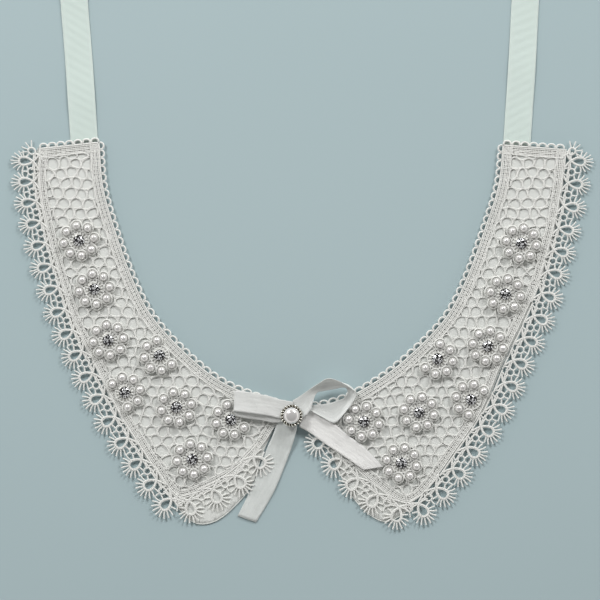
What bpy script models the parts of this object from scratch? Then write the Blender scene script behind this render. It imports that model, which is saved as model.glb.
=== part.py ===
# Lace collar with a satin bow, laid open on a flat surface.
# Two leaves of corded lace lie on sheer linings. A pearl button holds the bow where they meet.
# Every table below is in millimetres, seen from above: x to the right, y to the back of the neck.
import math
import random

import bmesh
import bpy
from mathutils import Vector

MM = 0.001
GAP = 0.3
CENTRE_OF_BOX = (-0.6, 168.0)

# Heights of the layers above the table, bottom and top.
LINING_Z = (0.0, 1.0)
LACE_Z = (1.3, 2.3)
PETAL_Z = (2.6, 3.2)
STONE_Z = (3.5, 5.9)
PEARL_TOP = 7.0
RIBBON_THICK = 1.0

# Cut of one leaf: rows run from the back of the neck to the front.
NECK_LINE = {
    "left": ((-111.5, 149.0), (-109.5, 125.0), (-103.5, 102.5), (-94.0, 75.5), (-83.5, 54.5),
             (-67.5, 36.0), (-47.5, 19.0), (-27.5, 9.5), (-7.5, 3.5)),
    "right": ((110.5, 147.5), (108.0, 125.0), (101.0, 102.5), (91.0, 75.0), (80.0, 53.5),
              (62.5, 34.5), (43.5, 19.0), (21.5, 7.0), (-1.0, 2.0)),
}
# The outer edge, round the tip, then up the front to the bow.
OUTER_LINE = {
    "left": ((-144.5, 145.5), (-145.0, 125.5), (-141.0, 102.0), (-133.0, 72.5), (-124.5, 47.0),
             (-112.0, 23.5), (-99.5, -1.5), (-84.0, -26.0), (-71.5, -44.5), (-65.0, -47.0),
             (-53.0, -42.0), (-38.0, -34.0), (-27.0, -24.0), (-20.5, -16.0), (-14.0, -6.0)),
    "right": ((144.5, 145.0), (142.5, 125.0), (138.5, 102.0), (131.0, 74.0), (121.0, 51.0),
              (109.5, 27.0), (98.0, 0.0), (83.0, -22.5), (71.5, -38.5), (63.0, -47.5),
              (56.0, -49.5), (47.0, -44.5), (32.5, -32.0), (21.0, -16.5), (9.0, -1.0)),
}
# The lining is cut rounder and longer at the front corner than the lace.
LINING_CORNER = {
    "left": ((-70.5, -47.0), (-66.5, -53.0), (-58.0, -60.0), (-47.5, -58.5), (-37.0, -50.0),
             (-28.5, -39.0), (-22.5, -21.5), (-15.0, -5.5), (-9.0, 3.0)),
    "right": ((60.5, -48.5), (57.0, -53.5), (47.0, -59.0), (38.0, -55.5), (29.5, -47.0),
              (24.0, -38.0), (19.0, -26.0), (14.0, -14.0), (8.0, -4.0), (0.5, 1.0)),
}
LINING_CORNER_AFTER_ROW = {"left": 7, "right": 8}

# Lace borders.
NECK_BAND = 5.5
OUTER_BAND = 4.4
NECK_LINING_INSET = 2.0
PICOT_PITCH = {"neck": 4.85, "back": 4.55}
PICOT_GROWTH = {"neck": 1.22, "back": 1.0}
PICOT_DEPTH = 3.1

# Net: mean spacing of the meshes, width of the cord, and how many are cut through in each leaf.
MESH_PITCH = 6.3
MESH_CORD = 1.0
MESH_JITTER = 1.4
MESH_MIN_AREA = 10.5
MESH_MOST = 100
MESH_SEED = 11
MESH_SHORTEST_SIDE = 1.1
NET_ROWS = 44
NET_COLUMNS = 30
NET_CORNER = (8.0, -70.0)

# Edging loops, measured outward from the lace ground. The pitch grows from the back to the front,
# and the spread is a share of the pitch.
LOOP_COUNT = {"left": 21, "right": 22}
LOOP_GROWTH = 1.27
LOOP_CENTRE = 7.4
LOOP_SPREAD = 0.46
LOOP_REACH = 7.1
LOOP_VALLEY = 0.66
LOOP_NOTCH = 5.6
LOOP_HOLE_LONG = 5.4
LOOP_HOLE_WIDE = 3.3
LOOP_SPIKES = 7
EDGING_END = {"left": 13.0, "right": 4.5}
# The edging was eased on by hand: number of the loop, its shift along the edge and its shift outward.
LOOP_EASE = {
    "left": ((0, 1.4, -0.4), (3, -0.4, -1.2), (8, -1.3, -1.2), (10, -2.2, 0.3), (14, -2.8, -0.1),
             (16, -3.8, -1.2), (18, -1.9, -1.5), (20, -0.8, -3.0)),
    "right": ((0, 0.0, 0.6), (3, 1.4, -0.4), (5, 0.9, -0.6), (7, 1.1, 1.5), (10, 1.3, 2.1),
              (12, 1.2, 0.8), (14, 1.2, 1.0), (16, 0.9, -0.6), (18, 1.9, 0.3), (21, 0.2, 1.5)),
}

# Flowers: centre x, centre y, angle of the first petal, petals left out.
FLOWERS = {
    "left": ((-122.6, 94.6, 10, ()), (-114.1, 67.9, 8, ()), (-106.4, 39.9, 7, ()),
             (-78.4, 31.5, 9, (0, 1)), (-97.3, 11.1, 11, (4, 5)), (-69.0, 3.0, 12, ()),
             (-39.0, -3.9, 14, (0, 1)), (-60.4, -25.6, 7, ())),
    "right": ((120.5, 93.1, -9, ()), (111.8, 65.2, -9, ()), (102.1, 36.6, -9, ()),
              (74.5, 29.5, -9, (3, 4)), (93.0, 7.2, -10, (0, 7)), (64.3, 0.3, -11, ()),
              (34.0, -4.9, -10, ()), (54.7, -27.6, -12, ())),
}
PETALS = 8
PETAL_RING = 8.35
PETAL_RADIUS = 3.0
PETAL_TILT = 38
PETAL_VALLEY = 8.8
PEARL_RADIUS = 2.65
PEARL_SEAT = 2.1
PEARL_SIDES = 6
FLOWER_HEART = 4.6
STONE_RADIUS = 3.1
STONE_TABLE = 1.9
STONE_SIDES = 8

# Ties: centre x and y of the ribbon, from the back edge of the lining to the free end.
TIE_WIDTH = 15.0
TIE_LINE = {
    "left": ((-119.9, 148.8), (-122.9, 194.0), (-125.5, 227.0), (-130.5, 300.0), (-136.0, 399.0)),
    "right": ((118.3, 147.3), (121.3, 194.0), (123.0, 227.0), (127.0, 300.0), (131.0, 399.0)),
}

# Bow ribbons as rows of (edge a x, y, z, edge b x, y, z) along the middle of the cloth.
LEFT_LOOP = (
    (-8.2, 5.4, 4.4, -8.6, -4.6, 4.4), (-14.5, 6.3, 4.4, -15.0, -5.3, 4.4),
    (-22.0, 7.8, 4.5, -22.2, -4.0, 4.5), (-34.0, 9.4, 4.5, -34.8, -2.1, 4.5),
    (-36.8, 10.6, 4.9, -37.2, -0.6, 4.9), (-37.4, 12.0, 5.7, -37.6, 1.0, 5.7),
    (-36.6, 12.4, 6.5, -36.8, 1.0, 6.5), (-33.5, 12.3, 6.8, -33.6, 0.7, 6.8),
    (-18.0, 9.4, 6.6, -18.6, -1.3, 6.6), (-12.5, 7.7, 6.0, -13.0, -2.6, 6.0),
    (-8.2, 6.8, 5.7, -8.8, -3.2, 5.7),
)
RIGHT_LOOP = (
    (-3.8, 6.4, 5.7, -0.6, -4.4, 5.7), (-1.1, 9.4, 5.8, 4.0, 0.9, 5.8),
    (4.4, 13.2, 7.0, 6.0, 5.9, 5.6), (9.4, 16.5, 8.5, 8.2, 11.0, 4.6),
    (13.8, 19.0, 9.0, 11.8, 12.0, 4.4), (18.7, 18.2, 9.0, 17.2, 13.0, 4.2),
    (24.2, 15.4, 8.6, 22.3, 14.0, 4.0), (27.3, 13.2, 8.0, 24.3, 13.4, 4.0),
    (29.8, 10.5, 6.8, 25.0, 11.5, 4.0), (27.8, 6.0, 5.4, 24.4, 9.3, 4.2),
    (23.6, 0.2, 4.9, 21.8, 7.6, 4.4), (17.8, -5.4, 4.6, 15.6, 5.6, 4.5),
    (11.2, -2.3, 4.4, 9.4, 4.6, 4.4), (3.2, 2.0, 4.4, 3.9, 4.4, 4.4),
)
LEFT_TAIL = (
    (-11.6, 3.0, 3.1, -2.2, -0.8, 3.1), (-12.9, -1.5, 3.1, -2.6, -5.0, 3.1),
    (-13.8, -5.5, 3.1, -2.9, -8.8, 2.9), (-15.2, -10.0, 2.2, -4.0, -13.4, 2.0),
    (-16.8, -14.0, 1.0, -5.2, -17.6, 1.0), (-18.4, -17.5, 0.5, -6.4, -21.2, 0.5),
    (-27.5, -40.7, 0.5, -15.4, -43.5, 0.5), (-35.5, -56.9, 0.5, -25.3, -60.5, 0.5),
)
RIGHT_TAIL = (
    (2.0, 4.2, 3.1, -1.6, -7.6, 3.1), (11.0, -1.6, 3.1, 4.4, -11.0, 3.1),
    (17.6, -5.8, 3.1, 10.6, -15.6, 3.1), (24.6, -11.8, 3.1, 18.6, -21.0, 3.1),
    (34.0, -18.8, 3.1, 27.0, -26.6, 3.1), (40.5, -25.2, 3.1, 31.5, -29.8, 3.1),
    (44.8, -29.7, 3.1, 33.8, -31.3, 3.1),
)

# Button: radius and height of each turn of the profile.
BUTTON_AT = (-5.7, -1.3)
BUTTON_SIDES = 16
BEZEL_PROFILE = ((1.9, 3.9), (1.9, 6.5), (6.05, 6.5), (6.05, 8.0), (5.0, 8.4), (5.0, 7.4))
BUTTON_PEARL_PROFILE = ((4.3, 7.7), (4.6, 8.6), (4.1, 9.9), (2.6, 11.0))
BUTTON_PEARL_TOP = 11.4


def clear_scene():
    for thing in list(bpy.data.objects):
        bpy.data.objects.remove(thing)


def material(name, colour, roughness, metallic):
    made = bpy.data.materials.new(name)
    made.use_nodes = True
    shader = made.node_tree.nodes["Principled BSDF"]
    shader.inputs["Base Color"].default_value = (*colour, 1.0)
    shader.inputs["Roughness"].default_value = roughness
    shader.inputs["Metallic"].default_value = metallic
    return made


def smooth_line(rows, steps):
    """Points of a smooth curve through the rows, with some steps between one row and the next."""
    rows = [Vector(row) for row in rows]
    ends = [rows[0] * 2 - rows[1]] + rows + [rows[-1] * 2 - rows[-2]]
    line = []
    for before, here, there, after in zip(ends, ends[1:], ends[2:], ends[3:]):
        for step in range(steps):
            t = step / steps
            line.append(0.5 * (2 * here + (there - before) * t
                               + (2 * before - 5 * here + 4 * there - after) * t ** 2
                               + (3 * here - before - 3 * there + after) * t ** 3))
    return line + [rows[-1]]


def lengths(line):
    total = [0.0]
    for here, there in zip(line, line[1:]):
        total.append(total[-1] + (there - here).length)
    return total


def point_at(line, total, distance):
    """Point and direction at a distance along a line."""
    for index in range(1, len(line)):
        if total[index] >= distance or index == len(line) - 1:
            span = total[index] - total[index - 1]
            share = (distance - total[index - 1]) / span
            step = line[index] - line[index - 1]
            return line[index - 1] + step * share, step.normalized()


def shifted(line, distance):
    """The line moved sideways, to the left of its direction."""
    moved = []
    for index, here in enumerate(line):
        step = line[min(index + 1, len(line) - 1)] - line[max(index - 1, 0)]
        step.normalize()
        moved.append(here + Vector((-step.y, step.x)) * distance)
    return moved


def area(polygon):
    return 0.5 * sum(a.x * b.y - b.x * a.y for a, b in zip(polygon, polygon[1:] + polygon[:1]))


def clip(polygon, at, inward):
    """The part of a convex polygon on the inward side of a straight line."""
    kept = []
    for here, there in zip(polygon, polygon[1:] + polygon[:1]):
        side_here = (here - at).dot(inward)
        side_there = (there - at).dot(inward)
        if side_here >= 0:
            kept.append(here)
        if side_here * side_there < 0:
            kept.append(here.lerp(there, side_here / (side_here - side_there)))
    return kept


def outside(side):
    """Side of the outer edge, walking to the front: 1 is to the left hand, -1 to the right."""
    return -1 if side == "left" else 1


def to_box(x, y):
    return (x - CENTRE_OF_BOX[0]) * MM, (y - CENTRE_OF_BOX[1]) * MM


def add_object(name, data, finish):
    data.materials.append(finish)
    made = bpy.data.objects.new(name, data)
    bpy.context.scene.collection.objects.link(made)
    return made


def add_plate(name, outline, holes, heights, finish):
    """A flat sheet of cloth with holes: a filled curve with its thickness as the extrusion."""
    curve = bpy.data.curves.new(name, "CURVE")
    curve.dimensions = "2D"
    curve.fill_mode = "BOTH"
    curve.extrude = (heights[1] - heights[0]) * MM / 2
    for ring in [outline] + holes:
        spline = curve.splines.new("POLY")
        spline.points.add(len(ring) - 1)
        spline.use_cyclic_u = True
        for place, point in zip(spline.points, ring):
            place.co = (*to_box(point.x, point.y), 0.0, 1.0)
    made = add_object(name, curve, finish)
    made.location.z = (heights[0] + heights[1]) * MM / 2
    return made


def add_mesh(name, shape, finish, smooth):
    bmesh.ops.recalc_face_normals(shape, faces=shape.faces)
    mesh = bpy.data.meshes.new(name)
    shape.to_mesh(mesh)
    shape.free()
    if smooth:
        mesh.shade_smooth()
        mesh.set_sharp_from_angle(angle=math.radians(40))
    return add_object(name, mesh, finish)


def ring_of(shape, at, radius, height, sides, turn=0.0):
    """A ring of points about an upright axis."""
    ring = []
    for index in range(sides):
        angle = math.tau * index / sides + turn
        x, y = to_box(at[0] + radius * math.cos(angle), at[1] + radius * math.sin(angle))
        ring.append(shape.verts.new((x, y, height * MM)))
    return ring


def join_rings(shape, lower, upper):
    for index in range(len(lower)):
        after = (index + 1) % len(lower)
        shape.faces.new((lower[index], lower[after], upper[after], upper[index]))


def close_top(shape, ring, at, height):
    apex = shape.verts.new((*to_box(*at), height * MM))
    for here, there in zip(ring, ring[1:] + ring[:1]):
        shape.faces.new((here, there, apex))


def add_turned(name, at, profile, sides, finish, top=None):
    """A turned piece. The profile runs from its foot outward and up."""
    shape = bmesh.new()
    rings = [ring_of(shape, at, radius, height, sides) for radius, height in profile]
    shape.faces.new(rings[0])
    for lower, upper in zip(rings, rings[1:]):
        join_rings(shape, lower, upper)
    if top is None:
        shape.faces.new(rings[-1])
    else:
        close_top(shape, rings[-1], at, top)
    return add_mesh(name, shape, finish, True)


def add_ribbon(name, rows, steps, finish):
    """A ribbon through rows of edge points, half its thickness to each side of them."""
    path = smooth_line(rows, steps)
    left = [Vector(row[:3]) for row in path]
    right = [Vector(row[3:]) for row in path]
    shape = bmesh.new()
    rings = []
    for index in range(len(path)):
        before = max(index - 1, 0)
        after = min(index + 1, len(path) - 1)
        along = (left[after] + right[after]) - (left[before] + right[before])
        normal = along.cross(right[index] - left[index]).normalized() * RIBBON_THICK / 2
        corners = (left[index] - normal, right[index] - normal,
                   right[index] + normal, left[index] + normal)
        rings.append([shape.verts.new((*to_box(c.x, c.y), c.z * MM)) for c in corners])
    shape.faces.new(rings[0])
    for lower, upper in zip(rings, rings[1:]):
        join_rings(shape, lower, upper)
    shape.faces.new(rings[-1])
    return add_mesh(name, shape, finish, True)


def outer_edge(side):
    """Smooth outer edge of the lace ground, from the back of the neck round the tip to the bow."""
    return smooth_line(OUTER_LINE[side], 4)


def picots(line, border, direction):
    """A scalloped line: flat-topped half rings that stand out from it and grow along it."""
    total = lengths(line)
    count = round(total[-1] / PICOT_PITCH[border])
    growth = PICOT_GROWTH[border] - 1
    widths = [1 + growth * index / (count - 1) for index in range(count)]
    scallops = []
    for index, width in enumerate(widths):
        for share, rise in ((0.0, 0.0), (0.28, 1.0), (0.72, 1.0)):
            run = total[-1] * (sum(widths[:index]) + width * share) / sum(widths)
            place, along = point_at(line, total, run)
            normal = Vector((-along.y, along.x)) * direction
            scallops.append(place + normal * rise * PICOT_DEPTH)
    return scallops


def net_seeds(side):
    """Middles of the net's meshes: a honeycomb of points, each moved a little at random."""
    shake = random.Random(MESH_SEED)
    row_height = MESH_PITCH * math.sqrt(3) / 2
    seeds = []
    for row in range(NET_ROWS):
        for column in range(NET_COLUMNS):
            x = (column + 0.5 * (row % 2)) * MESH_PITCH - NET_CORNER[0]
            y = row * row_height + NET_CORNER[1]
            x += shake.uniform(-1, 1) * MESH_JITTER
            y += shake.uniform(-1, 1) * MESH_JITTER
            seeds.append(Vector((x * outside(side), y)))
    return seeds


def mesh_around(seed, seeds):
    """Half a cord inside the lines midway between a seed and its neighbours."""
    size = 1.6 * MESH_PITCH
    cell = [seed + Vector((dx, dy)) * size for dx, dy in ((-1, -1), (1, -1), (1, 1), (-1, 1))]
    for other in seeds:
        apart = other - seed
        if 0 < apart.length < 2.4 * MESH_PITCH:
            inward = -apart.normalized()
            cell = clip(cell, seed + apart / 2 + inward * MESH_CORD / 2, inward)
    return cell


def net_meshes(side):
    """Irregular meshes between the bands and the flowers, the largest first."""
    neck = smooth_line(NECK_LINE[side], 6)
    outer = smooth_line(OUTER_LINE[side], 6)
    back = [neck[0].lerp(outer[0], share / 8) for share in range(9)]
    borders = ((neck, NECK_BAND), (outer, OUTER_BAND), (back, NECK_BAND))
    flowers = [Vector(flower[:2]) for flower in FLOWERS[side]]
    clearing = PETAL_RING + PETAL_RADIUS + MESH_CORD
    seeds = net_seeds(side)
    found = []
    for seed in seeds:
        if not inside_leaf(seed, neck, outer):
            continue
        if any((seed - flower).length < clearing + MESH_CORD for flower in flowers):
            continue
        cell = mesh_around(seed, seeds)
        for line, width in borders:
            near = min(line, key=lambda place: (place - seed).length)
            inward = (seed - near).normalized()
            cell = clip(cell, near + inward * width, inward)
        for flower in flowers:
            inward = (seed - flower).normalized()
            cell = clip(cell, flower + inward * clearing, inward)
        cell = without_short_sides(cell, MESH_SHORTEST_SIDE)
        if len(cell) > 3 and area(cell) > MESH_MIN_AREA:
            found.append(cell)
    found.sort(key=area, reverse=True)
    return found[:MESH_MOST]


def without_short_sides(polygon, shortest):
    kept = []
    for here in polygon:
        if not kept or (here - kept[-1]).length > shortest:
            kept.append(here)
    if len(kept) > 1 and (kept[0] - kept[-1]).length <= shortest:
        kept.pop()
    return kept


def inside_leaf(point, neck, outer):
    ring = neck + outer[::-1]
    crossings = 0
    for here, there in zip(ring, ring[1:] + ring[:1]):
        if (here.y > point.y) != (there.y > point.y):
            x = here.x + (point.y - here.y) * (there.x - here.x) / (there.y - here.y)
            crossings += x > point.x
    return crossings % 2 == 1


def add_lining(side, finish):
    neck = shifted(smooth_line(NECK_LINE[side], 2), outside(side) * NECK_LINING_INSET)
    straight = OUTER_LINE[side][:LINING_CORNER_AFTER_ROW[side]]
    outer = smooth_line(straight + LINING_CORNER[side], 2)
    return add_plate(side + "_lining", neck[:-1] + outer[::-1], [], LINING_Z, finish)


def add_lace_ground(side, finish):
    neck = smooth_line(NECK_LINE[side], 6)
    outer = outer_edge(side)
    scallops = picots(neck, "neck", -outside(side))
    back = picots([outer[0], neck[0]], "back", -outside(side))
    outline = scallops + [neck[-1]] + outer[::-1][:-1] + back
    return add_plate(side + "_lace_ground", outline, net_meshes(side), LACE_Z, finish)


def eased(side, number):
    """Shift along the edge and outward of one loop, between the rows of the table."""
    rows = LOOP_EASE[side]
    for here, there in zip(rows, rows[1:]):
        if number <= there[0]:
            share = (number - here[0]) / (there[0] - here[0])
            return [a + (b - a) * share for a, b in zip(here[1:], there[1:])]


def loop_places(side):
    """Inner edge of the edging, and the foot, the directions and the pitch of each loop."""
    foot = outer_edge(side)
    total = lengths(foot)
    kept = total[-1] - EDGING_END[side]
    foot = [place for place, run in zip(foot, total) if run <= kept]
    inner = shifted(foot, outside(side) * GAP)
    centres = shifted(foot, outside(side) * LOOP_CENTRE)
    total = lengths(centres)
    count = LOOP_COUNT[side]
    shares = [1.0 + (LOOP_GROWTH - 1.0) * index / (count - 1) for index in range(count)]
    places = []
    for index, share in enumerate(shares):
        pitch = total[-1] * share / sum(shares)
        run = total[-1] * sum(shares[:index]) / sum(shares) + pitch / 2
        shift, rise = eased(side, index)
        centre, along = point_at(centres, total, run + shift)
        outward = Vector((-along.y, along.x)) * outside(side)
        places.append((centre + outward * (rise - LOOP_CENTRE), along, outward, pitch))
    return inner, places


def add_edging(side, finish):
    """Loops with radiating spikes, one after another along the edge of the lace ground."""
    inner, places = loop_places(side)
    teeth = []
    holes = []
    for root, along, outward, pitch in places:
        for index in range(2 * LOOP_SPIKES - 1):
            angle = math.pi * (index / (2 * LOOP_SPIKES - 2) - 0.5)
            reach = LOOP_VALLEY if index % 2 else 1.0
            teeth.append(root + along * LOOP_SPREAD * pitch * reach * math.sin(angle)
                         + outward * (LOOP_CENTRE + LOOP_REACH * reach * math.cos(angle)))
        hole = []
        for index in range(8):
            angle = math.tau * index / 8
            narrow = 1.0 if math.cos(angle) > -0.1 else 0.72
            hole.append(root + along * LOOP_HOLE_WIDE / 2 * narrow * math.sin(angle)
                        + outward * (LOOP_CENTRE + LOOP_HOLE_LONG / 2 * math.cos(angle)))
        holes.append(hole)
        teeth.append(root + along * pitch / 2 + outward * LOOP_NOTCH)
    outline = inner + teeth[:-1][::-1]
    return add_plate(side + "_lace_edging", outline, holes, LACE_Z, finish)


def add_flower(side, number, row, finish):
    """Thread petals on the net, each holding a pearl."""
    x, y, turn, absent = row
    centre = Vector((x, y))
    shape = bmesh.new()
    outline = []
    pearls = []
    for index in range(PETALS):
        angle = math.radians(turn + 360 / PETALS * index)
        out = Vector((math.cos(angle), math.sin(angle)))
        if index in absent:
            outline.append(centre + out * FLOWER_HEART)
            continue
        middle = centre + out * PETAL_RING
        pearls.append(middle)
        for tilt in (-PETAL_TILT, PETAL_TILT):
            lean = angle + math.radians(tilt)
            outline.append(middle + Vector((math.cos(lean), math.sin(lean))) * PETAL_RADIUS)
        if (index + 1) % PETALS not in absent:
            half = angle + math.pi / PETALS
            outline.append(centre + Vector((math.cos(half), math.sin(half))) * PETAL_VALLEY)
    lower = [shape.verts.new((*to_box(p.x, p.y), PETAL_Z[0] * MM)) for p in outline]
    upper = [shape.verts.new((*to_box(p.x, p.y), PETAL_Z[1] * MM)) for p in outline]
    shape.faces.new(lower)
    join_rings(shape, lower, upper)
    rims = [ring_of(shape, p, PEARL_SEAT, PETAL_Z[1], PEARL_SIDES) for p in pearls]
    edges = []
    for ring in [upper] + rims:
        for here, there in zip(ring, ring[1:] + ring[:1]):
            edges.append(shape.edges.get((here, there)) or shape.edges.new((here, there)))
    bmesh.ops.triangle_fill(shape, use_beauty=True, edges=edges)
    for rim, place in zip(rims, pearls):
        waist = ring_of(shape, place, PEARL_RADIUS, (PETAL_Z[1] + PEARL_TOP) / 2, PEARL_SIDES)
        join_rings(shape, rim, waist)
        close_top(shape, waist, place, PEARL_TOP)
    return add_mesh(f"{side}_flower_{number}", shape, finish, True)


def add_stone(side, number, row, finish):
    profile = ((STONE_RADIUS, STONE_Z[0]), (STONE_TABLE, STONE_Z[1]))
    return add_turned(f"{side}_stone_{number}", row[:2], profile, STONE_SIDES, finish)


def add_tie(side, finish):
    path = smooth_line(TIE_LINE[side], 3)
    edge_a = shifted(path, TIE_WIDTH / 2)
    edge_b = shifted(path, -TIE_WIDTH / 2)
    rows = [(a.x, a.y, RIBBON_THICK / 2, b.x, b.y, RIBBON_THICK / 2)
            for a, b in zip(edge_a, edge_b)]
    return add_ribbon(side + "_tie", rows, 1, finish)


def build():
    clear_scene()
    lace = material("lace", (0.86, 0.88, 0.85), 0.85, 0.0)
    sheer = material("lining", (0.80, 0.83, 0.80), 0.80, 0.0)
    satin = material("satin", (0.70, 0.71, 0.68), 0.35, 0.0)
    ribbed = material("tie_ribbon", (0.66, 0.76, 0.72), 0.60, 0.0)
    pearl = material("pearl", (0.86, 0.82, 0.78), 0.20, 0.0)
    crystal = material("crystal", (0.55, 0.57, 0.60), 0.05, 0.6)
    metal = material("setting", (0.68, 0.64, 0.52), 0.25, 1.0)
    for side in ("left", "right"):
        add_lining(side, sheer)
        add_lace_ground(side, lace)
        add_edging(side, lace)
        add_tie(side, ribbed)
        for number, row in enumerate(FLOWERS[side], start=1):
            add_flower(side, number, row, pearl)
            add_stone(side, number, row, crystal)
    add_ribbon("bow_left_loop", LEFT_LOOP, 1, satin)
    add_ribbon("bow_right_loop", RIGHT_LOOP, 1, satin)
    add_ribbon("bow_left_tail", LEFT_TAIL, 1, satin)
    add_ribbon("bow_right_tail", RIGHT_TAIL, 1, satin)
    add_turned("bow_button_setting", BUTTON_AT, BEZEL_PROFILE, BUTTON_SIDES, metal)
    add_turned("bow_button_pearl", BUTTON_AT, BUTTON_PEARL_PROFILE, BUTTON_SIDES, pearl,
               BUTTON_PEARL_TOP)


build()
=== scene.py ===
# Lace collar with a satin bow, laid open and seen from straight above.
import math
import random

import bmesh
import bpy
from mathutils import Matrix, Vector
from mathutils.geometry import delaunay_2d_cdt


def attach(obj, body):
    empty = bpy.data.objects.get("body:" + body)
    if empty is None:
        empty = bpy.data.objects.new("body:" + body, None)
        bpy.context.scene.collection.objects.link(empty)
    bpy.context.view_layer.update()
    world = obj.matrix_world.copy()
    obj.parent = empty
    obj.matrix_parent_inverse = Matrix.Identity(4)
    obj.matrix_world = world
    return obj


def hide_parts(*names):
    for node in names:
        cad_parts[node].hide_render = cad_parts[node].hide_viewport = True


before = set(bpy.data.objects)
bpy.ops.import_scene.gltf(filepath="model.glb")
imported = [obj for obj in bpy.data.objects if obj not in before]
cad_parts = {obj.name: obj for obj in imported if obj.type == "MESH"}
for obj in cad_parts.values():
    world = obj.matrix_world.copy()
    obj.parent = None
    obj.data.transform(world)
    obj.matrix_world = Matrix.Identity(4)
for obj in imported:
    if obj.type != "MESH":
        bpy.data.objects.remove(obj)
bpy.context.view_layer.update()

# Studio: a camera straight above the front of the collar, a pale floor, and two soft boxes low beyond
# the back of the neck, which give each pearl its pair of highlights. Pale walls stand all round a
# darker ceiling, so a pearl shows a dark band with a light crescent under it.
MM = 0.001
CENTRE_OF_BOX = (-0.6, 168.0)
PICTURE_MIDDLE = (-1.1, 62.0)
PICTURE_WIDTH = 0.330
CAMERA_HEIGHT = 1.2
SOFT_BOX_PLACES = ((-1.16, 1.27, 1.42), (0.98, 1.62, 1.19))
SOFT_BOX_ACROSS = 0.66
SOFT_BOX_WATTS = 25.5
CEILING = (0.20, 0.20, 0.20)
WALLS = (1.10, 1.09, 1.06)


def to_frame(x, y, z):
    """A place on the collar's own drawing, in millimetres, as a point of the frame."""
    return Vector(((x - CENTRE_OF_BOX[0]) * MM, (y - CENTRE_OF_BOX[1]) * MM, z * MM))


camera_data = bpy.data.cameras.new("camera")
camera_data.sensor_width = 36.0
camera_data.lens = 36.0 * CAMERA_HEIGHT / PICTURE_WIDTH
camera_data.clip_end = 10.0
camera = bpy.data.objects.new("camera", camera_data)
camera.location = to_frame(*PICTURE_MIDDLE, 2.0) + Vector((0, 0, CAMERA_HEIGHT))
bpy.context.scene.collection.objects.link(camera)
bpy.context.scene.camera = camera
bpy.context.scene.view_settings.view_transform = "Standard"


class Wire:
    """One output of a node, written like a number in an expression."""

    def __init__(self, graph, socket):
        self.graph = graph
        self.socket = socket

    def maths(self, operation, first, second=None):
        values = {0: first} if second is None else {0: first, 1: second}
        return self.graph.node("ShaderNodeMath", {"operation": operation}, values)

    def __add__(self, other):
        return self.maths("ADD", self, other)

    def __radd__(self, other):
        return self.maths("ADD", other, self)

    def __sub__(self, other):
        return self.maths("SUBTRACT", self, other)

    def __rsub__(self, other):
        return self.maths("SUBTRACT", other, self)

    def __mul__(self, other):
        return self.maths("MULTIPLY", self, other)

    def __rmul__(self, other):
        return self.maths("MULTIPLY", other, self)

    def __truediv__(self, other):
        return self.maths("DIVIDE", self, other)

    def __pow__(self, other):
        return self.maths("POWER", self, other)

    def sine(self):
        return self.maths("SINE", self)

    def size(self):
        return self.maths("ABSOLUTE", self)


class Graph:
    """A node tree filled by one method."""

    def __init__(self, tree):
        self.tree = tree

    def node(self, kind, settings=None, values=None, output=0):
        made = self.tree.nodes.new(kind)
        for name, value in (settings or {}).items():
            setattr(made, name, value)
        for key, value in (values or {}).items():
            if isinstance(value, Wire):
                self.tree.links.new(value.socket, made.inputs[key])
            else:
                made.inputs[key].default_value = value
        return Wire(self, made.outputs[output]) if made.outputs else None

    def mixed(self, share, first, second):
        return self.node("ShaderNodeMix", {"data_type": "RGBA"},
                         {0: share, 6: (*first, 1.0) if isinstance(first, tuple) else first,
                          7: (*second, 1.0) if isinstance(second, tuple) else second}, 2)

    def bump(self, height, distance, strength=1.0):
        return self.node("ShaderNodeBump", None,
                         {"Height": height, "Distance": distance, "Strength": strength})

    def here(self):
        return self.node("ShaderNodeTexCoord", None, None, "Object")

    def clouds(self, scale, detail=2.0):
        return self.node("ShaderNodeTexNoise", None,
                         {"Vector": self.here(), "Scale": scale, "Detail": detail}, "Fac")

    def attribute(self, name, output="Fac"):
        return self.node("ShaderNodeAttribute", {"attribute_name": name}, None, output)


def new_finish(name, fixed):
    """A material, with the values that are the same all over set on its shader."""
    finish = bpy.data.materials.new(name)
    finish.use_nodes = True
    shader = finish.node_tree.nodes["Principled BSDF"]
    for key, value in fixed.items():
        shader.inputs[key].default_value = value
    return finish, Graph(finish.node_tree), shader


def drive(graph, shader, **wires):
    """Feed a shader's sockets, named with underscores for spaces."""
    for key, wire in wires.items():
        graph.tree.links.new(wire.socket, shader.inputs[key.replace("_", " ")])


floor_finish, graph, shader = new_finish("pale_floor", {"Roughness": 0.8})
drive(graph, shader,
      Base_Color=graph.mixed(graph.clouds(3.0), (0.37, 0.47, 0.49), (0.40, 0.50, 0.52)))
floor_mesh = bpy.data.meshes.new("floor")
floor_mesh.from_pydata([(-3, -3, 0), (3, -3, 0), (3, 3, 0), (-3, 3, 0)], [], [(0, 1, 2, 3)])
floor_mesh.materials.append(floor_finish)
floor = bpy.data.objects.new("floor", floor_mesh)
bpy.context.scene.collection.objects.link(floor)

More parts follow.
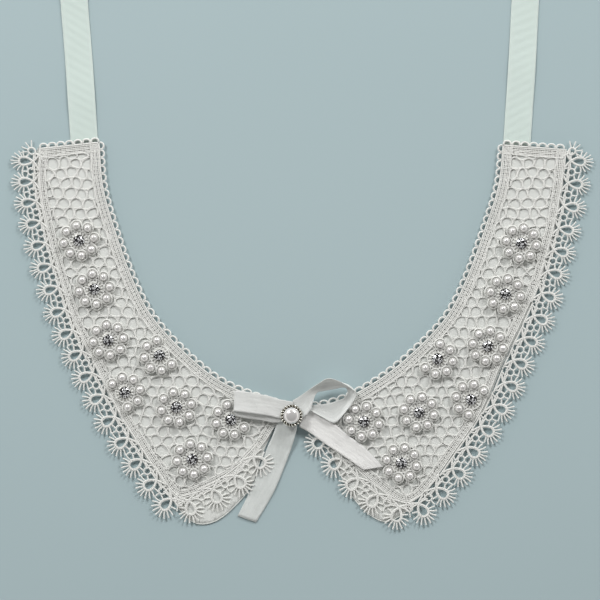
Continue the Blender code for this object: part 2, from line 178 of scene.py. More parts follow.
for number, place in enumerate(SOFT_BOX_PLACES):
    light = bpy.data.lights.new(f"soft_box_{number}", "AREA")
    light.shape = "DISK"
    light.size = SOFT_BOX_ACROSS
    light.energy = SOFT_BOX_WATTS
    lamp = bpy.data.objects.new(f"soft_box_{number}", light)
    lamp.location = camera.location * Vector((1, 1, 0)) + Vector(place)
    lamp.rotation_euler = Vector(place).to_track_quat("Z", "Y").to_euler()
    bpy.context.scene.collection.objects.link(lamp)
world = bpy.data.worlds.new("studio")
world.use_nodes = True
sky = Graph(world.node_tree)
split = sky.node("ShaderNodeSeparateXYZ", None,
                 {0: sky.node("ShaderNodeTexCoord", None, None, "Generated")}, 2)
climb = sky.node("ShaderNodeMapRange", {"interpolation_type": "SMOOTHSTEP"},
                 {"Value": split, "From Min": 0.25, "From Max": 0.60})
background = world.node_tree.nodes["Background"]
world.node_tree.links.new(sky.mixed(climb, WALLS, CEILING).socket, background.inputs["Color"])
bpy.context.scene.world = world

# Linings: one sheer plain-weave leaf under each half of the lace, cut rounder than the lace at the
# front corner, with a narrow rolled hem. They lie on the table, a little loose in the middle.
NECK_LINE = {
    "left": ((-111.5, 149.0), (-109.5, 125.0), (-103.5, 102.5), (-94.0, 75.5), (-83.5, 54.5),
             (-67.5, 36.0), (-47.5, 19.0), (-27.5, 9.5), (-7.5, 3.5)),
    "right": ((110.5, 147.5), (108.0, 125.0), (101.0, 102.5), (91.0, 75.0), (80.0, 53.5),
              (62.5, 34.5), (43.5, 19.0), (21.5, 7.0), (-1.0, 2.0)),
}
OUTER_LINE = {
    "left": ((-144.5, 145.5), (-145.0, 125.5), (-141.0, 102.0), (-133.0, 72.5), (-124.5, 47.0),
             (-112.0, 23.5), (-99.5, -1.5), (-84.0, -26.0), (-71.5, -44.5), (-65.0, -47.0),
             (-53.0, -42.0), (-38.0, -34.0), (-27.0, -24.0), (-20.5, -16.0), (-14.0, -6.0)),
    "right": ((144.5, 145.0), (142.5, 125.0), (138.5, 102.0), (131.0, 74.0), (121.0, 51.0),
              (109.5, 27.0), (98.0, 0.0), (83.0, -22.5), (71.5, -38.5), (63.0, -47.5),
              (56.0, -49.5), (47.0, -44.5), (32.5, -32.0), (21.0, -16.5), (9.0, -1.0)),
}
LINING_CORNER = {
    "left": ((-70.5, -47.0), (-66.5, -53.0), (-58.0, -60.0), (-47.5, -58.5), (-37.0, -50.0),
             (-28.5, -39.0), (-22.5, -21.5), (-15.0, -5.5), (-9.0, 3.0)),
    "right": ((60.5, -48.5), (57.0, -53.5), (47.0, -59.0), (38.0, -55.5), (29.5, -47.0),
              (24.0, -38.0), (19.0, -26.0), (14.0, -14.0), (8.0, -4.0), (0.5, 1.0)),
}
LINING_CORNER_AFTER_ROW = {"left": 7, "right": 8}
LINING_INSET = 2.2
LINING_TOP = 0.95
LINING_BEYOND = 1.0
LINING_THICK = 0.2
LINING_GRID = 2.5
# Creases: x and y of each end, half width and height, in millimetres.
LINING_CREASES = {
    "left": ((-121, 138, -118, 112, 3.0, 0.16), (-133, 96, -112, 82, 2.4, -0.20),
             (-100, 62, -84, 50, 2.8, 0.18), (-92, 24, -70, 16, 2.6, -0.22),
             (-62, -48, -40, -46, 3.4, 0.16), (-52, -54, -36, -44, 2.2, -0.26)),
    "right": ((119, 132, 126, 104, 2.6, 0.18), (128, 88, 106, 78, 3.0, -0.18),
              (98, 58, 82, 46, 2.4, 0.20), (90, 22, 72, 12, 3.0, -0.20),
              (60, -44, 34, -46, 3.0, 0.18), (50, -53, 33, -43, 2.4, -0.24)),
}


def smooth_line(rows, steps):
    """Points of a smooth curve through the rows, with some steps between one row and the next."""
    rows = [Vector(row) for row in rows]
    ends = [rows[0] * 2 - rows[1]] + rows + [rows[-1] * 2 - rows[-2]]
    line = []
    for before, here, there, after in zip(ends, ends[1:], ends[2:], ends[3:]):
        for step in range(steps):
            t = step / steps
            line.append(0.5 * (2 * here + (there - before) * t
                               + (2 * before - 5 * here + 4 * there - after) * t ** 2
                               + (3 * here - before - 3 * there + after) * t ** 3))
    return line + [rows[-1]]


def shifted(line, distance):
    """The line moved sideways, to the left of its direction."""
    moved = []
    for index, here in enumerate(line):
        step = line[min(index + 1, len(line) - 1)] - line[max(index - 1, 0)]
        step.normalize()
        moved.append(here + Vector((-step.y, step.x)) * distance)
    return moved


def outside(side):
    """Side of the outer edge, walking to the front: 1 is to the left hand, -1 to the right."""
    return -1 if side == "left" else 1


def ring_area(ring):
    return 0.5 * sum(a.x * b.y - b.x * a.y for a, b in zip(ring, ring[1:] + ring[:1]))


def add_object(name, mesh, finish):
    if finish.name not in mesh.materials:
        mesh.materials.clear()
        mesh.materials.append(finish)
    made = bpy.data.objects.new(name, mesh)
    bpy.context.scene.collection.objects.link(made)
    return made


def near_segment(point, start, end):
    """How far a point is from a straight stretch, and how far along it, from 0 to 1."""
    step = end - start
    share = max(0.0, min(1.0, (point - start).dot(step) / step.length_squared))
    return (point - start - step * share).length, share


def lining_height(point, outline, side):
    edge = min((point - place).length for place in outline)
    height = LINING_TOP - 0.34 * math.exp(-(edge / 3.0) ** 2)
    for x0, y0, x1, y1, width, rise in LINING_CREASES[side]:
        away, share = near_segment(point, Vector((x0, y0)), Vector((x1, y1)))
        height += rise * math.exp(-(away / width) ** 2) * math.sin(math.pi * (0.1 + 0.8 * share))
    return height


lining_finish, graph, shader = new_finish("sheer_lining", {"Roughness": 0.75, "Sheen Weight": 0.25})
split = graph.node("ShaderNodeSeparateXYZ", None, {0: graph.here()})
warp = (split * (math.tau / 0.00042)).sine()
weft = (Wire(graph, split.socket.node.outputs[1]) * (math.tau / 0.00042)).sine()
drive(graph, shader,
      Base_Color=graph.mixed(graph.clouds(28.0, 4.0), (0.70, 0.72, 0.69), (0.78, 0.79, 0.76)),
      Normal=graph.bump(warp * weft + 0.5 * graph.clouds(900.0), 0.00003))


def cut_sheet(name, outline, inner_height, finish):
    """A sheet cut to an outline, with points all over it so that it can take creases."""
    low = [min(p[i] for p in outline) for i in range(2)]
    high = [max(p[i] for p in outline) for i in range(2)]
    points = list(outline)
    row = 0
    y = low[1]
    while y < high[1]:
        x = low[0] + (row % 2) * LINING_GRID / 2
        while x < high[0]:
            here = Vector((x, y))
            if inside_ring(here, outline) and min((here - p).length for p in outline) > 1.2:
                points.append(here)
            x += LINING_GRID
        y += LINING_GRID * 0.87
        row += 1
    edges = [(i, (i + 1) % len(outline)) for i in range(len(outline))]
    places, _, faces, _, _, _ = delaunay_2d_cdt(points, edges, [], 1, 1e-5)
    shape = bmesh.new()
    verts = [shape.verts.new(to_frame(p.x, p.y, inner_height(p))) for p in places]
    for face in faces:
        shape.faces.new([verts[i] for i in face])
    bmesh.ops.recalc_face_normals(shape, faces=shape.faces)
    shape.faces.ensure_lookup_table()
    if shape.faces[0].normal.z < 0:
        bmesh.ops.reverse_faces(shape, faces=shape.faces)
    mesh = bpy.data.meshes.new(name)
    shape.to_mesh(mesh)
    shape.free()
    mesh.shade_smooth()
    return add_object(name, mesh, finish)


def inside_ring(point, ring):
    crossings = 0
    for here, there in zip(ring, ring[1:] + ring[:1]):
        if (here.y > point.y) != (there.y > point.y):
            x = here.x + (point.y - here.y) * (there.x - here.x) / (there.y - here.y)
            crossings += x > point.x
    return crossings % 2 == 1


def cord_tree():
    """Nodes that lay a round thread along every edge of a mesh, as thick as each point says."""
    tree = bpy.data.node_groups.new("lay_cords", "GeometryNodeTree")
    tree.interface.new_socket("Paths", in_out="INPUT", socket_type="NodeSocketGeometry")
    tree.interface.new_socket("Sides", in_out="INPUT", socket_type="NodeSocketInt")
    tree.interface.new_socket("Thread", in_out="INPUT", socket_type="NodeSocketMaterial")
    tree.interface.new_socket("Cords", in_out="OUTPUT", socket_type="NodeSocketGeometry")
    nodes = Graph(tree)
    paths = nodes.node("NodeGroupInput", None, None, "Paths")
    sides = nodes.node("NodeGroupInput", None, None, "Sides")
    thread = nodes.node("NodeGroupInput", None, None, "Thread")
    thick = nodes.node("GeometryNodeInputNamedAttribute", {"data_type": "FLOAT"}, {"Name": "thick"})
    run = nodes.node("GeometryNodeSplineParameter", None, None, "Length")
    line = nodes.node("GeometryNodeMeshToCurve", None, {"Mesh": paths})
    line = nodes.node("GeometryNodeStoreNamedAttribute", {"data_type": "FLOAT", "domain": "POINT"},
                      {"Geometry": line, "Name": "along", "Value": run})
    round_line = nodes.node("GeometryNodeCurvePrimitiveCircle", None,
                            {"Resolution": sides, "Radius": 1.0})
    cords = nodes.node("GeometryNodeCurveToMesh", None,
                       {"Curve": line, "Profile Curve": round_line, "Scale": thick,
                        "Fill Caps": True})
    cords = nodes.node("GeometryNodeRealizeInstances", None, {"Geometry": cords})
    cords = nodes.node("GeometryNodeSetMaterial", None, {"Geometry": cords, "Material": thread})
    nodes.node("NodeGroupOutput", None, {"Cords": cords})
    return tree


def grown(name, seed_mesh, tree, values, finish):
    """The plain mesh that a tree grows from a seed mesh, as a new object."""
    seed = bpy.data.objects.new(name + "_seed", seed_mesh)
    bpy.context.scene.collection.objects.link(seed)
    grow = seed.modifiers.new("grow", "NODES")
    grow.node_group = tree
    for item in tree.interface.items_tree:
        if item.in_out == "INPUT" and item.name in values:
            grow[item.identifier] = values[item.name]
    seed.update_tag()
    bpy.context.view_layer.update()
    mesh = bpy.data.meshes.new_from_object(
        seed.evaluated_get(bpy.context.evaluated_depsgraph_get()))
    seed.modifiers.remove(grow)
    bpy.data.objects.remove(seed)
    mesh.name = name
    mesh.shade_smooth()
    return add_object(name, mesh, finish)


lay_cords = cord_tree()
RING_JOIN = 0.05


def add_cords(name, paths, finish, sides=6):
    """Threads laid along paths of points in millimetres, closed or not, each with its radius."""
    places, edges, thick = [], [], []
    for points, closed, radius in paths:
        line = [Vector(point) for point in points]
        if closed:
            turn = (line[1] - line[-1]).normalized() * RING_JOIN
            line = [line[0], line[0] + turn] + line[1:] + [line[0] - turn, line[0]]
        first = len(places)
        for point in line:
            places.append(to_frame(*point))
            thick.append(radius * MM)
        edges += [(first + i, first + i + 1) for i in range(len(line) - 1)]
    mesh = bpy.data.meshes.new(name + "_paths")
    mesh.from_pydata(places, edges, [])
    mesh.attributes.new("thick", "FLOAT", "POINT").data.foreach_set("value", thick)
    return grown(name, mesh, lay_cords, {"Sides": sides, "Thread": finish}, finish)


def lining_outline(side):
    neck = shifted(smooth_line(NECK_LINE[side], 6), outside(side) * LINING_INSET)
    rows = OUTER_LINE[side][:LINING_CORNER_AFTER_ROW[side]] + LINING_CORNER[side]
    outer = shifted(smooth_line(rows, 6), outside(side) * LINING_BEYOND)
    return neck[:-1] + outer[::-1]


for side in ("left", "right"):
    outline = lining_outline(side)
    lining = cut_sheet(side + "_lining_cloth", outline,
                       lambda p: lining_height(p, outline, side), lining_finish)
    wall = lining.modifiers.new("wall", "SOLIDIFY")
    wall.thickness = LINING_THICK * MM
    wall.offset = -1.0
    hem = add_cords(side + "_lining_hem",
                    [([(p.x, p.y, 0.62) for p in outline], True, 0.26)], lining_finish)
    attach(lining, "root")
    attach(hem, "root")
    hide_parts(side + "_lining")
    reach = max(p.y for p in outline) - min(p.y for p in outline)
    abs(ring_area(outline)) * MM * MM

# Lace ground: corded guipure, white cotton thread stitched into a net of rounded uneven meshes. The
# neck and back have a laddered band with a row of picots, the other edges a pair of thin cords.
NECK_BAND = 5.5
OUTER_BAND = 4.4
MESH_PITCH = 6.3
MESH_CORD = 1.0
MESH_JITTER = 1.4
MESH_SEED = 11
NET_ROWS = 44
NET_COLUMNS = 30
NET_CORNER = (8.0, -70.0)
NET_HEIGHT = 1.50
NET_RING_INSET = 0.24
NET_RING_THICK = 0.29
NET_BAR_THICK = 0.30
PETAL_RING = 8.35
STAR_RADIUS = 5.4
FLOWERS = {
    "left": ((-122.6, 94.6, 10, ()), (-114.1, 67.9, 8, ()), (-106.4, 39.9, 7, ()),
             (-78.4, 31.5, 9, (0, 1)), (-97.3, 11.1, 11, (4, 5)), (-69.0, 3.0, 12, ()),
             (-39.0, -3.9, 14, (0, 1)), (-60.4, -25.6, 7, ())),
    "right": ((120.5, 93.1, -9, ()), (111.8, 65.2, -9, ()), (102.1, 36.6, -9, ()),
              (74.5, 29.5, -9, (3, 4)), (93.0, 7.2, -10, (0, 7)), (64.3, 0.3, -11, ()),
              (34.0, -4.9, -10, ()), (54.7, -27.6, -12, ())),
}

thread_finish, graph, shader = new_finish("lace_thread", {"Roughness": 0.8, "Sheen Weight": 0.3})
wraps = (graph.attribute("along") * (math.tau / 0.00034)).sine()
drive(graph, shader,
      Base_Color=graph.mixed(graph.clouds(160.0, 3.0), (0.75, 0.755, 0.72), (0.87, 0.87, 0.84)),
      Normal=graph.bump(0.6 * wraps + graph.clouds(1400.0), 0.00006))


def clip(polygon, at, inward):
    """The part of a convex polygon on the inward side of a straight line."""
    kept = []
    for here, there in zip(polygon, polygon[1:] + polygon[:1]):
        side_here = (here - at).dot(inward)
        side_there = (there - at).dot(inward)
        if side_here >= 0:
            kept.append(here)
        if side_here * side_there < 0:
            kept.append(here.lerp(there, side_here / (side_here - side_there)))
    return kept


def net_seeds(side):
    """Middles of the net's meshes: a honeycomb of points, each moved a little at random."""
    shake = random.Random(MESH_SEED)
    row_height = MESH_PITCH * math.sqrt(3) / 2
    seeds = []
    for row in range(NET_ROWS):
        for column in range(NET_COLUMNS):
            x = (column + 0.5 * (row % 2)) * MESH_PITCH - NET_CORNER[0]
            y = row * row_height + NET_CORNER[1]
            x += shake.uniform(-1, 1) * MESH_JITTER
            y += shake.uniform(-1, 1) * MESH_JITTER
            seeds.append(Vector((x * outside(side), y)))
    return seeds


def mesh_around(seed, near_seeds, inset):
    size = 1.6 * MESH_PITCH
    cell = [seed + Vector((dx, dy)) * size for dx, dy in ((-1, -1), (1, -1), (1, 1), (-1, 1))]
    for other in near_seeds:
        apart = other - seed
        inward = -apart.normalized()
        cell = clip(cell, seed + apart / 2 + inward * inset, inward)
    return cell


def rounded(ring, rounds):
    """Corners cut off a ring, again and again."""
    for _ in range(rounds):
        cut = []
        for here, there in zip(ring, ring[1:] + ring[:1]):
            cut.append(here.lerp(there, 0.25))
            cut.append(here.lerp(there, 0.75))
        ring = cut
    return ring


def net_paths(side):
    """Threads of the net: a rounded ring in each mesh, and a bar on each line between meshes."""
    shake = random.Random(MESH_SEED + 1)
    neck = smooth_line(NECK_LINE[side], 6)
    outer = smooth_line(OUTER_LINE[side], 6)
    back = [neck[0].lerp(outer[0], share / 8) for share in range(9)]
    borders = ((neck, NECK_BAND), (outer, OUTER_BAND), (back, NECK_BAND))
    flowers = [Vector(flower[:2]) for flower in FLOWERS[side]]
    leaf = neck + outer[::-1]
    seeds = net_seeds(side)
    bars = []
    paths = []
    for seed in seeds:
        if not inside_ring(seed, leaf):
            continue
        if any((seed - flower).length < STAR_RADIUS for flower in flowers):
            continue
        near_seeds = [s for s in seeds if 0 < (s - seed).length < 2.4 * MESH_PITCH]
        for inset in (0.0, NET_RING_INSET):
            cell = mesh_around(seed, near_seeds, inset)
            for line, width in borders:
                near = min(line, key=lambda place: (place - seed).length)
                inward = (seed - near).normalized()
                cell = clip(cell, near + inward * (width - MESH_CORD / 2 + inset), inward)
            if len(cell) < 3 or ring_area(cell) < 2.0:
                continue
            if inset:
                height = NET_HEIGHT + shake.uniform(-0.04, 0.04)
                ring = [(p.x, p.y, height) for p in rounded(cell, 2)]
                paths.append((ring, True, NET_RING_THICK * shake.uniform(0.9, 1.15)))
            else:
                for here, there in zip(cell, cell[1:] + cell[:1]):
                    middle = (here + there) / 2
                    if all((middle - (a + b) / 2).length > MESH_CORD / 4 for a, b in bars):
                        bars.append((here, there))
    for here, there in bars:
        paths.append(([(here.x, here.y, NET_HEIGHT), (there.x, there.y, NET_HEIGHT)],
                      False, NET_BAR_THICK))
    return paths


def lengths(line):
    total = [0.0]
    for here, there in zip(line, line[1:]):
        total.append(total[-1] + (there - here).length)
    return total


def point_at(line, total, distance):
    """Point and direction at a distance along a line."""
    for index in range(1, len(line)):
        if total[index] >= distance or index == len(line) - 1:
            span = total[index] - total[index - 1]
            share = (distance - total[index - 1]) / span
            step = line[index] - line[index - 1]
            return line[index - 1] + step * share, step.normalized()


def band_paths(line, inward, cords, rung_pitch, rung_span, shake):
    """Cords side by side along a line, with slanting rungs between the first and the last."""
    paths = []
    for offset, radius in cords:
        laid = shifted(line, inward * offset)
        paths.append(([(p.x, p.y, NET_HEIGHT) for p in laid], False, radius))
    total = lengths(line)
    count = int(total[-1] / rung_pitch)
    for start, end, lean in rung_span:
        for index in range(count):
            run = (index + 0.5 + shake.uniform(-0.12, 0.12)) * total[-1] / count
            foot, along = point_at(line, total, run)
            normal = Vector((-along.y, along.x)) * inward
            a = foot + normal * start
            b = foot + normal * end + along * lean * (1 if index % 2 else -1)
            paths.append(([(a.x, a.y, NET_HEIGHT), (b.x, b.y, NET_HEIGHT)], False, 0.25))
    return paths


def ground_paths(side):
    shake = random.Random(MESH_SEED + 2)
    neck = smooth_line(NECK_LINE[side], 8)
    outer = smooth_line(OUTER_LINE[side], 8)
    back = [neck[0].lerp(outer[0], share / 12) for share in range(13)]
    neck_cords = ((0.35, 0.48), (1.25, 0.32), (2.35, 0.30), (3.15, 0.33), (4.20, 0.28), (5.05, 0.42))
    neck_rungs = ((0.5, 1.2, 0.3), (1.3, 2.3, 0.25), (2.4, 3.1, 0.3), (3.2, 4.1, 0.25),
                  (4.2, 5.0, 0.2))
    edge_cords = ((0.20, 0.42), (1.10, 0.32), (2.00, 0.28), (3.10, 0.30), (4.00, 0.36))
    edge_rungs = ((0.3, 1.1, 0.2), (1.2, 1.9, 0.2), (2.1, 3.0, 0.3), (3.1, 3.9, 0.2))
    inward = outside(side)
    paths = net_paths(side)
    paths += band_paths(neck, inward, neck_cords, 1.05, neck_rungs, shake)
    paths += band_paths(back, -inward, neck_cords, 1.25, neck_rungs, shake)
    paths += band_paths(outer, -inward, edge_cords, 1.15, edge_rungs, shake)
    return paths


def scatter_tree():
    """Nodes that set a copy of one piece on every point, turned and stretched as the point says."""
    tree = bpy.data.node_groups.new("set_copies", "GeometryNodeTree")
    tree.interface.new_socket("Places", in_out="INPUT", socket_type="NodeSocketGeometry")
    tree.interface.new_socket("Copy", in_out="INPUT", socket_type="NodeSocketObject")
    tree.interface.new_socket("Finish", in_out="INPUT", socket_type="NodeSocketMaterial")
    tree.interface.new_socket("Copies", in_out="OUTPUT", socket_type="NodeSocketGeometry")
    nodes = Graph(tree)
    places = nodes.node("NodeGroupInput", None, None, "Places")
    copy = nodes.node("NodeGroupInput", None, None, "Copy")
    finish = nodes.node("NodeGroupInput", None, None, "Finish")
    turn = nodes.node("GeometryNodeInputNamedAttribute", {"data_type": "FLOAT_VECTOR"},
                      {"Name": "turn"})
    stretch = nodes.node("GeometryNodeInputNamedAttribute", {"data_type": "FLOAT_VECTOR"},
                         {"Name": "stretch"})
    shape = nodes.node("GeometryNodeObjectInfo", None, {"Object": copy}, "Geometry")
    copies = nodes.node("GeometryNodeInstanceOnPoints", None,
                        {"Points": places, "Instance": shape, "Rotation": turn, "Scale": stretch})
    copies = nodes.node("GeometryNodeRealizeInstances", None, {"Geometry": copies})
    copies = nodes.node("GeometryNodeSetMaterial", None, {"Geometry": copies, "Material": finish})
    nodes.node("NodeGroupOutput", None, {"Copies": copies})
    return tree


set_copies = scatter_tree()


def add_copies(name, places, copy, finish):
    """Copies of a piece at (x, y, z, turn about z, x, y and z stretch) in millimetres and radians."""
    mesh = bpy.data.meshes.new(name + "_places")
    mesh.from_pydata([to_frame(*place[:3]) for place in places], [], [])
    turns = [value for place in places for value in (0.0, 0.0, place[3])]
    stretches = [value for place in places for value in place[4:7]]
    mesh.attributes.new("turn", "FLOAT_VECTOR", "POINT").data.foreach_set("vector", turns)
    mesh.attributes.new("stretch", "FLOAT_VECTOR", "POINT").data.foreach_set("vector", stretches)
    made = grown(name, mesh, set_copies, {"Copy": copy, "Finish": finish}, finish)
    return made


def cord_pattern(name, paths, sides=6):
    """A small piece of thread work about the origin, to be copied and then removed."""
    moved = [([(x + CENTRE_OF_BOX[0], y + CENTRE_OF_BOX[1], z) for x, y, z in points], closed, radius)
             for points, closed, radius in paths]
    made = add_cords(name, moved, thread_finish, sides)
    made.hide_render = True
    return made


PICOT_PITCH = {"neck": 4.85, "back": 4.55}
PICOT_GROWTH = {"neck": 1.22, "back": 1.0}
PICOT_WIDE = 4.6
picot = cord_pattern("picot", [([(1.95 * math.cos(a), 0.3 + 1.95 * math.sin(a) ** 0.8, 0.0)
                                 for a in [math.pi * i / 12 for i in range(13)]], False, 0.52)])


def picot_places(line, border, outward):
    total = lengths(line)
    count = round(total[-1] / PICOT_PITCH[border])
    growth = PICOT_GROWTH[border] - 1
    widths = [1 + growth * index / (count - 1) for index in range(count)]
    places = []
    for index, width in enumerate(widths):
        run = total[-1] * (sum(widths[:index]) + width / 2) / sum(widths)
        foot, along = point_at(line, total, run)
        normal = Vector((-along.y, along.x)) * outward
        turn = math.atan2(normal.y, normal.x) - math.pi / 2
        wide = total[-1] * width / sum(widths)
        places.append((foot.x, foot.y, NET_HEIGHT, turn, wide / PICOT_WIDE, 1.0, 1.0))
    return places


for side in ("left", "right"):
    ground = add_cords(side + "_lace_net", ground_paths(side), thread_finish)
    neck = smooth_line(NECK_LINE[side], 8)
    back = [Vector(OUTER_LINE[side][0]), Vector(NECK_LINE[side][0])]
    places = picot_places(neck, "neck", -outside(side)) + picot_places(back, "back", -outside(side))
    picots = add_copies(side + "_picots", places, picot, thread_finish)
    for piece in (ground, picots):
        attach(piece, "root")
    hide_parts(side + "_lace_ground")
bpy.data.objects.remove(picot)

# Edging: a run of teardrop loops with radiating spikes, and small rings and bars that tie each one
# to the next and to the lace ground. It is stitched in the same thread, from the back to the bow.
LOOP_COUNT = {"left": 21, "right": 22}
LOOP_GROWTH = 1.27
LOOP_CENTRE = 7.4
LOOP_PATTERN_PITCH = 13.6
EDGING_END = {"left": 13.0, "right": 4.5}
# Number of the loop, its shift along the edge and its shift outward.
LOOP_EASE = {
    "left": ((0, 1.4, -0.4), (3, -0.4, -1.2), (8, -1.3, -1.2), (10, -2.2, 0.3), (14, -2.8, -0.1),
             (16, -3.8, -1.2), (18, -1.9, -1.5), (20, -0.8, -3.0)),
    "right": ((0, 0.0, 0.6), (3, 1.4, -0.4), (5, 0.9, -0.6), (7, 1.1, 1.5), (10, 1.3, 2.1),
              (12, 1.2, 0.8), (14, 1.2, 1.0), (16, 0.9, -0.6), (18, 1.9, 0.3), (21, 0.2, 1.5)),
}
# Angle of each spike from straight outward, and how far its tip is from the middle of the loop.
SPIKES = ((0, 7.7), (18, 7.6), (-18, 7.6), (38, 7.5), (-38, 7.5), (59, 7.1), (-59, 7.1), (80, 6.6),
          (-80, 6.6))
SPIKE_CENTRE = 8.2
# At the back corner stands a smaller loop with a few long spikes: foot and turn.
CORNER_LOOP = {"left": (-144.6, 141.6, 60), "right": (144.4, 141.4, -60)}
CORNER_SPIKES = (-72, -38, -8, 24, 58)


def eased(side, number):
    """Shift along the edge and outward of one loop, between the rows of the table."""
    rows = LOOP_EASE[side]
    for here, there in zip(rows, rows[1:]):
        if number <= there[0]:
            share = (number - here[0]) / (there[0] - here[0])
            return [a + (b - a) * share for a, b in zip(here[1:], there[1:])]


def loop_places(side):
    """Foot, outward turn and pitch of each edging loop."""
    foot = smooth_line(OUTER_LINE[side], 4)
    total = lengths(foot)
    kept = total[-1] - EDGING_END[side]
    foot = [place for place, run in zip(foot, total) if run <= kept]
    centres = shifted(foot, outside(side) * LOOP_CENTRE)
    total = lengths(centres)
    count = LOOP_COUNT[side]
    shares = [1.0 + (LOOP_GROWTH - 1.0) * index / (count - 1) for index in range(count)]
    places = []
    for index, share in enumerate(shares):
        pitch = total[-1] * share / sum(shares)
        run = total[-1] * sum(shares[:index]) / sum(shares) + pitch / 2
        shift, rise = eased(side, index)
        centre, along = point_at(centres, total, run + shift)
        outward = Vector((-along.y, along.x)) * outside(side)
        places.append((centre + outward * (rise - LOOP_CENTRE), outward, pitch))
    return places


def both_ways(path):
    """A path, and the same one seen in a mirror along the middle of the loop."""
    return [path, [(-x, y, z) for x, y, z in path]]


def loop_paths():
    """One loop of the edging, from the lace ground at y 0 out to the spike tips."""
    half = LOOP_PATTERN_PITCH / 2
    drop = ((0.0, 3.5), (1.0, 4.5), (1.85, 5.8), (2.4, 7.1), (2.7, 8.4), (2.6, 9.5), (2.05, 10.6),
            (1.15, 11.25), (0.0, 11.4))
    ring = [(x, y, 0.15) for x, y in drop] + [(-x, y, 0.15) for x, y in drop[-2:0:-1]]
    inner = [(x * 0.80, 8.0 + (y - 8.0) * 0.86, 0.2) for x, y, _ in ring]
    paths = [(ring, True, 0.52), (inner, True, 0.36)]
    for angle, reach in SPIKES:
        out = Vector((math.sin(math.radians(angle)), math.cos(math.radians(angle))))
        bend = Vector((out.y, -out.x)) * (0.18 if angle % 4 else -0.2)
        root = Vector((0.0, SPIKE_CENTRE)) + out * 2.9
        tip = Vector((0.0, SPIKE_CENTRE)) + out * reach
        middle = root.lerp(tip, 0.55) + bend
        paths.append(([(root.x, root.y, 0.05), (middle.x, middle.y, 0.1), (tip.x, tip.y, 0.0)],
                      False, 0.42))
    bars = (
        (0.44, [(2.2, 7.2, 0.05), (3.7, 6.5, 0.0), (5.4, 5.9, 0.0)]),
        (0.58, [(-0.8, 4.4, 0.1), (0.2, 3.1, 0.1), (2.1, 1.7, 0.0), (4.3, 0.5, 0.0)]),
        (0.52, [(0.3, 3.4, 0.0), (2.3, 3.2, 0.0), (4.3, 3.4, 0.0), (5.3, 4.0, 0.0)]),
        (0.46, [(1.9, 2.5, 0.0), (4.8, 2.5, 0.0), (half, 2.3, 0.0)]),
        (0.46, [(4.6, 2.3, 0.0), (5.3, 0.3, 0.0)]),
    )
    for radius, bar in bars:
        paths += [(path, False, radius) for path in both_ways(bar)]
    paths.append(([(-half, 0.1, 0.0), (half, 0.1, 0.0)], False, 0.50))
    return paths


def link_paths():
    """The small ring and post between two loops, about the foot midway between them."""
    ring = [(1.9 * math.cos(math.tau * i / 16), 4.6 + 1.85 * math.sin(math.tau * i / 16), 0.0)
            for i in range(16)]
    post = [(0.0, 6.3, 0.0), (0.1, 8.0, 0.0), (0.0, 9.6, 0.0)]
    return [(ring, True, 0.48), (post, False, 0.44)]


def corner_paths():
    """The small loop at the back corner, about its foot."""
    ring = [(1.75 * math.sin(math.tau * i / 16), 4.7 + 2.1 * math.cos(math.tau * i / 16), 0.1)
            for i in range(16)]
    paths = [(ring, True, 0.52), ([(0.0, -0.4, 0.0), (0.0, 2.7, 0.0)], False, 0.6)]
    for angle in CORNER_SPIKES:
        out = Vector((math.sin(math.radians(angle)), math.cos(math.radians(angle))))
        root = Vector((0.0, 4.7)) + out * 1.9
        tip = Vector((0.0, 4.7)) + out * 6.0
        paths.append(([(root.x, root.y, 0.0), (tip.x, tip.y, 0.0)], False, 0.36))
    return paths


loop_pattern = cord_pattern("edging_loop", loop_paths())
corner_pattern = cord_pattern("edging_corner", corner_paths())
link_pattern = cord_pattern("edging_link", link_paths())
for side in ("left", "right"):
    spots = loop_places(side)
    places = [(foot.x, foot.y, NET_HEIGHT, math.atan2(outward.y, outward.x) - math.pi / 2,
               pitch / LOOP_PATTERN_PITCH, 1.0, 1.0) for foot, outward, pitch in spots]
    edging = add_copies(side + "_edging", places, loop_pattern, thread_finish)
    x, y, turn = CORNER_LOOP[side]
    corner = add_copies(side + "_corner_loop", [(x, y, NET_HEIGHT, math.radians(turn), 1.0, 1.0, 1.0)],
                        corner_pattern, thread_finish)
    places = []
    for here, there in zip(spots, spots[1:]):
        foot = (here[0] + there[0]) / 2
        outward = here[1] + there[1]
        places.append((foot.x, foot.y, NET_HEIGHT, math.atan2(outward.y, outward.x) - math.pi / 2,
                       1.0, 1.0, 1.0))
    links = add_copies(side + "_edging_links", places, link_pattern, thread_finish)
    for piece in (edging, links, corner):
        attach(piece, "root")
    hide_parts(side + "_lace_edging")
bpy.data.objects.remove(loop_pattern)
bpy.data.objects.remove(link_pattern)
bpy.data.objects.remove(corner_pattern)

# Flowers: eight petals of padded thread on the net, round a star of stitches. Each petal holds one
# pearl bead, sewn down through its middle.
PETALS = 8
PEARL_RADIUS = 2.22
PEARL_HEIGHT = 3.55
PETAL_HEIGHT = 2.5


def petal_places(side):
    places = []
    for x, y, turn, absent in FLOWERS[side]:
        for index in range(PETALS):
            if index not in absent:
                angle = math.radians(turn + 360 / PETALS * index)
                places.append((x + PETAL_RING * math.cos(angle), y + PETAL_RING * math.sin(angle),
                               angle))
    return places


